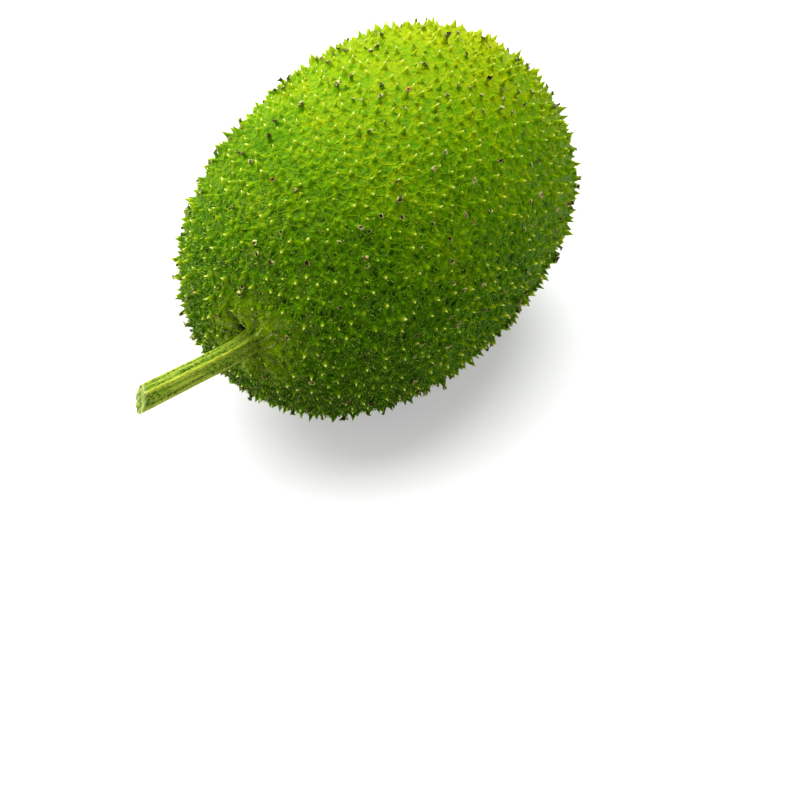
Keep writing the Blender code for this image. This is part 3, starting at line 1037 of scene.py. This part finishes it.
def hair_finish(green):
    material, tree, shader, place = material_tree("gourd_hairs", 0.5)
    along = read(tree, "along")
    tip = ranged(tree, along, 0.3, 0.9)
    pale = ranged(tree, noise(tree, place, HAIR_PATCH_SCALE, 1.0), 0.44, 0.56)
    colour = blended(tree, product(tree, tip, pale), greens(tree, green, place, 0.2)["Colour"], HAIR_CREAM)
    coloured(tree, shader, colour)
    return material


def specks(tree, place, scale, low, high, most):
    """Small spots where a cell pattern's middle points lie near the surface."""
    cells = put(tree, "ShaderNodeTexVoronoi", {"Vector": place, "Scale": scale}).outputs["Distance"]
    return ranged(tree, cells, low, high, most, 0.0)


def drawn_out(tree, place, share):
    """A place on the stem for a pattern that is drawn out along it."""
    return of_vectors(tree, "MULTIPLY", place, (1.0, 1.0, share))


def stem_finish():
    material, tree, shader, place = material_tree("gourd_stem", 0.5)
    shader.inputs["Specular IOR Level"].default_value = STEM_SHEEN
    rib = read(tree, "rib")
    cut = read(tree, "cut")
    length = read(tree, "length")
    round_it = read(tree, "round", "Vector")
    fibre = noise(tree, drawn_out(tree, round_it, 0.16), 9.0, 4.0)
    crest = ranged(tree, with_added(tree, rib, fibre, 0.7), 0.75, 1.2)
    colour = blended(tree, crest, *STEM_GREENS)
    threads = noise(tree, drawn_out(tree, round_it, 0.05), 4.2, 2.0)
    colour = blended(tree, ranged(tree, threads, 0.52, 0.57, 0.0, 0.75), colour, STEM_THREAD)
    short = drawn_out(tree, round_it, 0.42)
    dark = specks(tree, short, 5.5, 0.30, 0.44, 1.0)
    off_crest = ranged(tree, crest, 0.4, 1.0, 1.0, 0.1)
    in_rows = ranged(tree, threads, 0.46, 0.56, 1.0, 0.0)
    colour = blended(tree, product(tree, product(tree, dark, off_crest), in_rows), colour, STEM_FLECK)
    shifted = of_vectors(tree, "ADD", short, (3.1, 1.7, 0.9))
    pale = specks(tree, shifted, 6.0, 0.20, 0.36, 0.9)
    colour = blended(tree, pale, colour, STEM_SPECK)
    under = ranged(tree, split(tree, round_it)["Y"], -0.55, -0.9, 0.0, 0.7)
    colour = blended(tree, product(tree, under, off_crest), colour, STEM_UNDER)
    # painted shade: the stem darker towards its root, where the fruit shades it
    colour = blended(tree, ranged(tree, length, 0.12, 0.5, 0.85, 0.0), colour, STEM_ROOT_SHADE)
    # a pale band at the cut's rim: the cut's own colour, partly a painted highlight on its edge
    colour = blended(tree, ranged(tree, length, 0.975, 1.0, 0.0, 0.85), colour, CUT_RIM_AND_HIGHLIGHT)
    flesh = blended(tree, ranged(tree, noise(tree, place, GRAIN_SCALE, 3.0), 0.4, 0.58), *FLESH_GREENS)
    coloured(tree, shader, blended(tree, reckoned(tree, "GREATER_THAN", cut, 0.03), colour, flesh))
    height = with_added(tree, with_added(tree, fibre, dark, -0.8), pale, 0.6)
    bumped(tree, shader, height, 1.0, STEM_GRAIN)
    return material


# Stage

def make_stage():
    corners = [(-FLOOR_REACH, -FLOOR_REACH, 0), (FLOOR_REACH, -FLOOR_REACH, 0)]
    corners += [(FLOOR_REACH, FLOOR_REACH, 0), (-FLOOR_REACH, FLOOR_REACH, 0)]
    floor = mesh_piece("floor", corners, [(0, 1, 2, 3)])
    material, tree, shader = material_tree("floor_white", 0.9)[:3]
    shader.inputs["Base Color"].default_value = FLOOR_GREY
    # the floor glows for camera rays only: painted light that lifts its shadows
    seen = put(tree, "ShaderNodeLightPath").outputs["Is Camera Ray"]
    camera_glow = ranged(tree, seen, last=FLOOR_GLOW)
    shader.inputs["Emission Color"].default_value = (1, 1, 1, 1)
    tree.links.new(camera_glow, shader.inputs["Emission Strength"])
    floor.data.materials.append(material)


def make_sun(name, toward, softness, strength):
    light = bpy.data.lights.new(name, "SUN")
    light.angle = softness
    light.energy = strength
    lamp = bpy.data.objects.new(name, light)
    lamp.rotation_euler = (-Vector(toward)).to_track_quat("-Z", "Y").to_euler()
    bpy.context.scene.collection.objects.link(lamp)


def make_lights():
    world = bpy.data.worlds.new("soft_white")
    world.use_nodes = True
    tree = world.node_tree
    seen = put(tree, "ShaderNodeLightPath").outputs["Is Camera Ray"]
    strength = ranged(tree, seen, first=WORLD_STRENGTH)
    tree.nodes["Background"].inputs["Color"].default_value = (1, 1, 1, 1)
    tree.links.new(strength, tree.nodes["Background"].inputs["Strength"])
    bpy.context.scene.world = world
    make_sun("key_light", *KEY_LIGHT)
    make_sun("side_light", *SIDE_LIGHT)


def make_camera():
    lens = bpy.data.cameras.new("camera")
    lens.sensor_width = 36
    lens.angle = LENS_ANGLE
    lens.clip_start = 0.01
    camera = bpy.data.objects.new("camera", lens)
    camera.location = CAMERA_PLACE
    camera.rotation_euler = Euler((math.pi / 2 - CAMERA_RISE, 0.0, CAMERA_TURN))
    bpy.context.scene.collection.objects.link(camera)
    bpy.context.scene.camera = camera
    bpy.context.scene.view_settings.view_transform = "Standard"


def main():
    rng = np.random.default_rng(SEED)
    places, faces = skin_grid()
    points, hollows = skin_points(places[:, 0], places[:, 1])
    plain = mesh_piece("plain_skin", points, faces)
    normals = vertex_normals(plain.data)
    surface = BVHTree.FromPolygons([tuple(point) for point in points], faces)
    bpy.data.objects.remove(plain, do_unlink=True)
    roots, axes, tips, widths = spine_sites(points, normals, surface, rng)
    green = gourd_green()
    rounding = rounded_normal()
    skin = make_skin(roots, axes, widths, points, normals, faces, hollows, rng)
    skin.data.materials.append(skin_finish(green, rounding))
    hairs = make_hairs(skin, hair_finish(green))
    dried = rng.random(len(roots)) < DRIED_SHARE
    grew = []
    for name, chosen, outline, values, finish in (
        ("gourd_spines", ~dried, (FRESH_RADII, FRESH_HEIGHTS), FRESH_VALUES, spine_finish(green, rounding)),
        ("dried_spines", dried, (DRIED_RADII, DRIED_HEIGHTS), DRIED_VALUES, dried_finish(green)),
    ):
        own = [[row[index] for index in np.flatnonzero(chosen)] for row in (roots, tips, widths)]
        values = {**values, "Seed": SEED, "Finish": finish}
        grew.append(make_spines(name, *own, spine_tree("Grow " + name, *outline), values, rng))
    spines, dried_spines = grew
    stem = make_stem(stem_finish())
    for piece in (skin, spines, dried_spines, hairs):
        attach(piece, "root")
        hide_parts("gourd_fruit")
    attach(stem, "root")
    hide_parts("fruit_stem")
    make_stage()
    make_lights()
    make_camera()


main()
